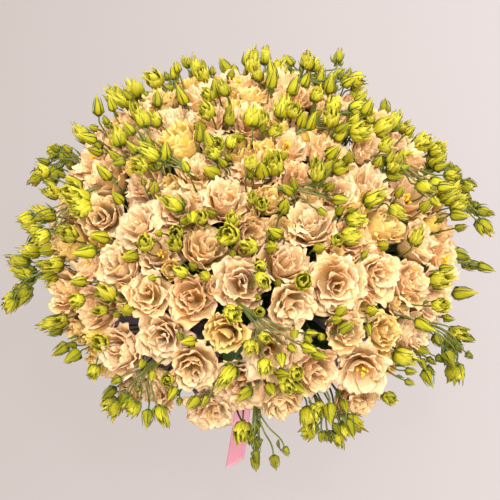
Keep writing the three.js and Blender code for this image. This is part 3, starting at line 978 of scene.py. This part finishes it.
# %% Buds on their stems: half of the larger ones are loosening, and those at the edge get painted shade
LOOSE_SHARE = 0.5
LOOSE_FROM = 0.25
FURLED = SimpleNamespace(patterns=bud_patterns, width=1.2, length=0.9, tone=0)
LOOSE = SimpleNamespace(patterns=loose_patterns, width=1.25, length=0.88, tone=0.4)
for number, stem in enumerate(stems, 1):
    bm = new_shape()
    for bud in stem.buds:
        kind = LOOSE if bud.size > LOOSE_FROM and looks.random() < LOOSE_SHARE else FURLED
        pattern = kind.patterns[int(looks.random() * len(kind.patterns))]
        bud.axis = unit(bud.axis + around(bud.axis, looks.between(0, TAU)) * looks.between(0, 0.6))
        facing = around(bud.axis, looks.between(0, TAU))
        width = bud.radius * kind.width
        matrix = placed(bud.base, bud.axis, facing, (width, width, bud.length * kind.length))
        tone = looks.between(0.1, 0.7) * (1.3 - bud.size) - kind.tone
        # Painted shade: buds near the dome's edge are darkened, as if they lay in the shade there.
        tone += 0.35 * max(0, min(1, (math.hypot(*bud.base[:2]) - 0.225) / 0.04))
        stamp(bm, pattern, matrix, tone)
    piece(f"buds_{number:02d}", bm, [bud_skin, green_skin], stem.node)
print("buds placed")

# %% [markdown]
# ## Stems, stalks and leaves
# A stem is a tube whose radius shrinks on the way up. A curve object with a round bevel and a radius
# at each point is the quickest way to many smooth tubes, so one curve holds a whole plant's stem,
# pedicels and stalks, and is then made a mesh.

# %% Tubes
STEM_RADIUS = 0.0023
STEM_TAPER = (1.15, 1.05, 1, 0.95, 0.9, 0.8, 0.6, 0.6)
PEDICEL_RADIUS = 0.00125
STALK_RADIUS = 0.0012
STALK_TAPER = (1.2, 1, 0.85, 0.85, 0.85)
CUT_SPARE = 0.004
SINK = 0.001  # how far a pedicel runs into its bloom
BEND = 0.030  # how far under a bloom its pedicel turns upright


def tubes_mesh(name, tubes):
    """One mesh of many tubes, each given as points and radii."""
    curve = bpy.data.curves.new(name, "CURVE")
    curve.dimensions = "3D"
    curve.bevel_depth = 1.0
    curve.bevel_resolution = 1
    curve.use_fill_caps = True
    for points, radii in tubes:
        spline = curve.splines.new("BEZIER")
        spline.bezier_points.add(len(points) - 1)
        for knot, point, radius in zip(spline.bezier_points, points, radii):
            knot.co = point
            knot.radius = radius
            knot.handle_left_type = knot.handle_right_type = "AUTO"
        spline.resolution_u = 5
    holder = bpy.data.objects.new(name, curve)
    mesh = bpy.data.meshes.new_from_object(holder)
    bpy.data.objects.remove(holder)
    bpy.data.curves.remove(curve)
    return mesh


def plant_tubes(stem):
    """The stem up to its first bloom, a pedicel to each other bloom and a stalk to each bud."""
    first = stem.blooms[0]
    under = stem.foot - stem.lean / stem.lean[2] * CUT_SPARE
    points = [under, stem.waist] + [bow(stem, t) for t in (0.25, 0.5, 0.75, 1.0)]
    points += [first.base - first.axis * 0.024, first.base + first.axis * SINK]
    tubes = [(points, [STEM_RADIUS * share for share in STEM_TAPER])]
    for k, bloom in enumerate(stem.blooms[1:], 1):
        root = stem.fork - stem.outward * ROOT_STEP * k
        bend = bloom.base - bloom.axis * BEND
        top = bloom.base + bloom.axis * 0.004 + across(bloom.axis)[0] * 0.0022
        middle = root * 0.25 + bend * 0.5 + top * 0.25
        tubes.append(([root, middle, bloom.base + bloom.axis * SINK], [PEDICEL_RADIUS] * 3))
    for young in stem.young:
        points = [stem.fork, young.base - young.axis * BEND, young.base + young.axis * SINK]
        tubes.append((points, [PEDICEL_RADIUS] * 3))
    for k, bud in enumerate(stem.buds):
        root = stem.fork - stem.outward * ROOT_STEP * (0.5 + 0.45 * min(k, BUDS_PER_STEM))
        points = [root, *bud.way, bud.base - bud.axis * 0.010, bud.base]
        tubes.append((points, [STALK_RADIUS * share for share in STALK_TAPER[: len(points)]]))
    return tubes


def cut_level(mesh):
    """The tubes with the stem's end cut off level with the surface that the bouquet stands on."""
    bm = bmesh.new()
    bm.from_mesh(mesh)
    everything = bm.verts[:] + bm.edges[:] + bm.faces[:]
    plane = {"plane_co": (0, 0, 0), "plane_no": (0, 0, 1)}
    cut = bmesh.ops.bisect_plane(bm, geom=everything, clear_inner=True, **plane)
    rim = [part for part in cut["geom_cut"] if isinstance(part, bmesh.types.BMEdge)]
    bmesh.ops.edgeloop_fill(bm, edges=rim)
    return as_mesh(bm, mesh.name + "_cut")


# %% [markdown]
# A leaf and a bract, the small leaf where a stalk forks, are bent grids too. The solids carry one
# leaf each, whose place is found again by its tip. More leaves follow it up the stem and ring its
# fork, wherever they stay above the paper.

# %% Leaf patterns
LEAF_LENGTH = 0.058
LEAF_WIDTH = 0.024
LEAF_PLACES = 24


def leaf_pattern():
    """A leaf along +Z, its width along X: egg-shaped, folded at the rib and arched."""
    bm = new_shape()
    for vert, u, t in flat_grid(bm, 6, 10):
        half = 0.5 * LEAF_WIDTH * (0.1 + 0.95 * math.sin(math.pi * t**0.75) ** 0.85 * (1 - 0.1 * t))
        fold = 0.25 * half * abs(u) + 0.0012 * math.sin(7 * t + 2 * u)
        vert.co = (u * half, fold - 0.010 * t * t, LEAF_LENGTH * t * (1 - 0.02 * abs(u)))
    thicken(bm, 0.0005)
    return as_mesh(bm, "leaf")


def bract_pattern():
    """A small leaf along +Z, one unit long."""
    bm = new_shape()
    for vert, u, t in flat_grid(bm, 2, 4):
        half = 0.16 * (0.2 + math.sin(math.pi * t**0.7)) * (1 - 0.8 * t * t)
        vert.co = (u * half, 0.4 * half * abs(u) - 0.25 * t * t, t)
    thicken(bm, 0.03)
    return as_mesh(bm, "bract")


def along_stem(stem, t, step):
    """The stem's direction at t."""
    return unit(bow(stem, t + step) - bow(stem, t - step))


def leaf_frame(stem, n):
    """The leaf's place n round the stem: its foot, its axis and the direction of its width."""
    t = 0.72 + 0.05 * (n % 4)
    tangent = along_stem(stem, t, 1e-4)
    facing = around(tangent, 0.4 + n * TAU / 6.5)
    axis = unit(tangent + np.cross(tangent, facing) * 0.75)
    return bow(stem, t), axis, facing


def solid_leaf(stem):
    """The frame of the leaf that this stem's solid has, found by its tip."""
    corners = corners_of(stem.node)
    frames = [leaf_frame(stem, n) for n in range(LEAF_PLACES)]
    return min(frames, key=lambda place: distances(corners, place[0] + place[1] * LEAF_LENGTH).min())


# %% Stems with their leaves
BRACT_SHARE = 0.5
BRACT_LENGTH = (0.010, 0.020)
FRONT_STEM = 22
FRONT_LEAF = vec(-0.012, -0.172, 0.344)
FRONT_LEAF_AXIS = unit(vec(-0.25, -0.80, -0.57))
FRONT_LEAF_SIZES = (0.9 * 1.25, 0.9, 0.9)
LEAF_TIMES = (0.45, 0.58, 0.7, 0.82, 0.94)
CROWN_LEAVES = 4
PAPER_CLEARANCE = 0.016
PAPER_PROFILE = [
    (0.0443, 0.0883), (0.031, 0.113), (0.0212, 0.137), (0.0191, 0.149),
    (0.0225, 0.160), (0.0334, 0.1727), (0.060, 0.1885), (0.090, 0.2015),
    (0.120, 0.2124), (0.155, 0.2235), (0.190, 0.2334),
]
ABOVE_TIE = 4  # the first point of the profile above the tie
leaf = leaf_pattern()
bract = bract_pattern()


def above_paper(p):
    paper = np.interp(math.hypot(p[0], p[1]), *zip(*PAPER_PROFILE[ABOVE_TIE:]))
    return p[2] > paper + PAPER_CLEARANCE


def add_leaf(leaves, base, axis, facing, grow=1.0):
    """Adds a leaf to the list, unless its middle or its tip would touch the paper."""
    tip = base + axis * LEAF_LENGTH * grow
    if above_paper(tip) and above_paper((base + tip) / 2):
        leaves.append(placed(base, axis, facing, (grow,) * 3))


def plant_leaves(stem, number):
    leaves = [placed(*solid_leaf(stem))]
    if number == FRONT_STEM:
        facing = unit(np.cross(vec(0, -0.57, 0.82), FRONT_LEAF_AXIS))
        leaves.append(placed(FRONT_LEAF, FRONT_LEAF_AXIS, facing, FRONT_LEAF_SIZES))
    for k, t in enumerate(LEAF_TIMES):
        tangent = along_stem(stem, t, 1e-3)
        for side in (0, math.pi):
            facing = around(tangent, 1.3 * k + number + side)
            axis = unit(tangent + np.cross(tangent, facing) * looks.between(0.5, 1.1))
            add_leaf(leaves, bow(stem, t), axis, facing, looks.between(0.6, 1.0))
    for k in range(CROWN_LEAVES if number > 1 else 0):
        aside = around(stem.outward, TAU * (k + looks.random()) / CROWN_LEAVES)
        axis = unit(stem.outward + aside * looks.between(0.5, 1.1))
        base = stem.fork + stem.outward * looks.between(0.0, 0.03)
        add_leaf(leaves, base, axis, unit(np.cross(axis, stem.outward)))
    return leaves


leaf_count = 0
for number, stem in enumerate(stems, 1):
    bm = new_shape()
    bm.from_mesh(cut_level(tubes_mesh(f"tubes_{number:02d}", plant_tubes(stem))))
    for bud in stem.buds:
        if looks.random() < BRACT_SHARE:
            foot = bud.way[-1] + (bud.base - bud.way[-1]) * looks.between(0.45, 0.95)
            facing = around(bud.axis, looks.between(0, TAU))
            axis = unit(bud.axis + np.cross(bud.axis, facing) * 0.5)
            stamp(bm, bract, placed(foot, axis, facing, (looks.between(*BRACT_LENGTH),) * 3))
    leaves = plant_leaves(stem, number)
    for matrix in leaves:
        stamp(bm, leaf, matrix)
    bm.faces.ensure_lookup_table()
    for face in bm.faces[-len(leaves) * len(leaf.polygons):]:
        face.material_index = 1
    piece(f"stem_{number:02d}", bm, [green_skin, leaf_skin], stem.node)
    leaf_count += len(leaves)
print("stems made, with", leaf_count, "leaves")

# %% [markdown]
# ## The paper collar
# The paper is drawn tight at the tie and flares above and below. A profile is spun round the axis,
# and then moved: small gathers fan out from the tie, wider pleats run out to the rim, which is drawn
# out into corners, and noise gives the creases.

# %% Collar
THROAT_RADIUS = 0.0185
THROAT_HEIGHT = TIE_HEIGHT - 0.001
RIM_RADIUS = 0.190
PAPER_THICKNESS = 0.0004
PAPER_WAVES = 4
GATHERS = 23
GATHER_DEPTH = 0.0085
PLEATS = 13
PLEAT_DEPTH = 0.014
CREASE_DEPTH = 0.0035
CORNERS = 8


def ridge(place):
    """A sharp fold each time that place grows by 1: from -0.5 between two folds to 0.5 on one."""
    return abs(place % 1 - 0.5) * 2 - 0.5


bm = new_shape()
spin_profile(bm, PAPER_PROFILE, 230, cuts=3)
for vert in bm.verts:
    x, y, z = vert.co
    turn = math.atan2(y, x)
    out = (math.hypot(x, y) - THROAT_RADIUS) / (RIM_RADIUS - THROAT_RADIUS)
    wave = math.cos(PAPER_WAVES * turn)
    pull = 1 + 0.05 * (1 + wave) * max(0, min(1, (0.125 - z) / 0.025))
    drop = 0.008 * out * out * (1 - wave) if z > THROAT_HEIGHT else 0
    away = min(1, max(0, abs(z - THROAT_HEIGHT) - 0.010) / 0.02)
    warp = 0.5 * noise.noise(Vector((3 * x, 3 * y, 30 * z)) * 4)
    gather = ridge(GATHERS * turn / TAU + warp) * GATHER_DEPTH * away * max(0, 1 - 1.3 * out)
    pleat = ridge(PLEATS * turn / TAU + 0.35 * math.sin(3 * turn) + warp) * PLEAT_DEPTH
    spot = Vector((x, y, z))
    crease = 0.5 - abs(noise.noise(spot * 38)) * 2.4 + 0.7 * noise.noise(spot * 120)
    rise = (pleat + CREASE_DEPTH * crease) * min(1, abs(out) * 2.5)
    rise += 0.006 * math.sin(7 * turn + 2 * math.sin(2 * turn)) * max(0, out) ** 6
    corner = max(0, math.cos(CORNERS * turn / 2 + 0.6)) ** 4 * max(0, out) ** 4
    rise += 0.010 * corner
    pull += 0.20 * corner
    pull += (gather + 0.0012 * crease * away) / math.hypot(x, y)
    vert.co = (x * pull, y * pull, z - drop + (rise if z > THROAT_HEIGHT else 0))
thicken(bm, PAPER_THICKNESS)
paper = piece("paper_wrap", bm, [paper_skin], "paper_collar")
print("collar made,", len(paper.data.polygons), "faces")

# %% [markdown]
# ## The satin ribbon
# One strip of 22 mm satin goes round the throat, is knotted at the front and falls in two tails. The
# band is spun, the knot is a ball pressed into folds, and a tail is a flat grid laid along a curve
# and cut on the slant.

# %% The band and the knot
RIBBON_WIDTH = 0.022
SATIN_THICKNESS = 0.0003
BAND_RADIUS = THROAT_RADIUS + 0.0012 + 0.00035
BAND_FLARE = (0.0021, 0.0035)  # at the lower edge and at the upper one
KNOT = Vector((0, -(BAND_RADIUS + 0.0056), THROAT_HEIGHT))
KNOT_SIZE = (0.008, 0.005, 0.009)
CUT_ANGLE = 32 * DEGREE
LONG_TAIL = [
    (0, 0.145), (0.017, 0.116), (0.040, 0.080), (0.063, 0.042), (0.080, 0.015), (0.092, 0.0026),
    (0.110, 0.0007), (0.156, 0.0007),
]
SHORT_TAIL = [(0, 0.145), (0.015, 0.124), (0.029, 0.098), (0.036, 0.070)]


def satin_piece(name, bm):
    print(name, "made,", len(bm.faces), "faces")
    return piece(name, bm, [satin_skin], "ribbon")


bm = new_shape()
profile = []
for share in [k / 6 - 1 for k in range(13)]:
    flare = BAND_FLARE[share >= 0] * share**2
    profile.append((BAND_RADIUS + 0.0005 + flare, THROAT_HEIGHT + RIBBON_WIDTH / 2 * share))
spin_profile(bm, profile, 72)
for vert in bm.verts:
    turn = math.atan2(vert.co.y, vert.co.x)
    fold = math.sin(900 * vert.co.z + 3 * turn) * 0.0004 * (0.5 + 0.5 * math.sin(turn + 1))
    vert.co.xy = vert.co.xy.normalized() * (vert.co.xy.length + max(fold, -0.0002))
thicken(bm, SATIN_THICKNESS)
satin_piece("ribbon_band", bm)

bm = new_shape()
for vert in ball(bm, 48, 32):
    p = vert.co.copy()
    lean = 0.8 * p.x - 0.6 * p.z
    fold = 0.22 * abs(math.sin(5 * lean + 1.5 * p.z)) + 0.08 * math.sin(12 * lean)
    p *= 0.92 + fold * (1 - lean * lean) - 0.10 * abs(p.z)
    vert.co = KNOT + p * Vector(KNOT_SIZE)
satin_piece("ribbon_knot", bm)


# %% The ribbon's two tails
def along_path(points, t):
    """A point on the smooth curve through points, from t = 0 to 1."""
    place = t * (len(points) - 1)
    i = min(int(place), len(points) - 2)
    s = place - i
    p0, p1, p2, p3 = [np.array(points[max(0, min(len(points) - 1, i + k))]) for k in (-1, 0, 1, 2)]
    return 0.5 * (2 * p1 + (p2 - p0) * s + (2 * p0 - 5 * p1 + 4 * p2 - p3) * s**2
                  + (3 * p1 - p0 - 3 * p2 + p3) * s**3)


def tail(name, turn, points):
    bm = new_shape()
    length = sum(math.dist(a, b) for a, b in zip(points, points[1:]))
    spin = Matrix.Rotation(-turn, 3, "Z")
    for vert, u, v in flat_grid(bm, 8, 48):
        w = u * RIBBON_WIDTH / 2
        t = v * (1 - (w + RIBBON_WIDTH / 2) * math.tan(CUT_ANGLE) / length)
        out, z = along_path(points, t)
        cup = 0.0016 * math.cos(math.pi * w / RIBBON_WIDTH) * math.sin(math.pi * t) * (1 - t)
        gather = 0.45 + 0.55 * min(1, t * 5)
        vert.co = spin @ Vector((w * gather, -out - cup, max(z, 0.0004)))
        vert.co += Vector((KNOT.x, KNOT.y, 0))
    thicken(bm, SATIN_THICKNESS)
    bmesh.ops.recalc_face_normals(bm, faces=bm.faces[:])
    made = satin_piece(name, bm)


tail("ribbon_tail_long", 8 * DEGREE, LONG_TAIL)
tail("ribbon_tail_short", -24 * DEGREE, SHORT_TAIL)

# %% [markdown]
# ## The studio
# The bouquet stands on a plain pale floor that runs far back and sweeps up, under a soft lamp above
# its front and an even sky. Most of the floor's paleness is its own light, brighter on the right, so
# that it stays even under the lamp. The camera looks down on the bouquet from the front.

# %% Floor and light
SWEEP = [(0, 0), (5.0, 0), (5.8, 0.08), (6.4, 0.4), (6.8, 1.0), (6.9, 3.0)]
MIDDLE = Vector((0, 0, 0.33))
LAMP_PLACE = Vector((0.28, -0.65, 2.2))
bm = new_shape()
spin_profile(bm, SWEEP, 96)
bmesh.ops.remove_doubles(bm, verts=bm.verts[:], dist=1e-4)
bmesh.ops.recalc_face_normals(bm, faces=bm.faces[:])
floor = add_object("floor", as_mesh(bm, "floor"))
f = Finish("floor")
place = f.node("ShaderNodeTexCoord", output="Object")
rightward = f.node("ShaderNodeSeparateXYZ", (), {0: place})
floor.data.materials.append(f.done(f.surface({
    "Base Color": f.blend(f.grain(2.0), "36363a", "3a3a3e"),
    # Painted light: the floor's glow grows towards the right, a painted fall-off of the light across it.
    "Emission Color": f.blend(rightward * 1.2 + 0.5, "c4b7b1", "dcd0cc"),
    "Emission Strength": 1.0,
    "Roughness": 0.9,
    "Specular IOR Level": 0.1,
})))

world = bpy.data.worlds.new("sky")
bpy.context.scene.world = world
world.use_nodes = True
sky = world.node_tree.nodes["Background"].inputs
sky["Color"].default_value = (1.0, 0.98, 0.87, 1)
sky["Strength"].default_value = 3.0

lamp = bpy.data.lights.new("key", "AREA")
lamp.size = 0.35
lamp.energy = 27
lamp.color = (1, 0.96, 0.88)
key = add_object("key", lamp)
key.location = LAMP_PLACE
key.rotation_euler = (MIDDLE - LAMP_PLACE).to_track_quat("-Z", "Y").to_euler()

# %% Camera
ELEVATION = 55 * DEGREE
DISTANCE = 1.5
FRAME_WIDTH = 0.600
LOWER_AIM = 0.044
SENSOR = 36
back = Vector((0, -math.cos(ELEVATION), math.sin(ELEVATION)))
up = Vector((0, math.sin(ELEVATION), math.cos(ELEVATION)))
camera_data = bpy.data.cameras.new("camera")
camera_data.sensor_width = SENSOR
camera_data.lens = SENSOR * DISTANCE / FRAME_WIDTH
camera = add_object("camera", camera_data)
camera.location = MIDDLE - up * LOWER_AIM + back * DISTANCE
camera.rotation_euler = (-back).to_track_quat("-Z", "Y").to_euler()
bpy.context.scene.camera = camera
bpy.context.scene.view_settings.view_transform = "Standard"
print("camera at", [round(c, 3) for c in camera.location])

# %% The count of triangles
print(sum(len(m.polygons) * 2 for m in bpy.data.meshes if m.users), "triangles at most")
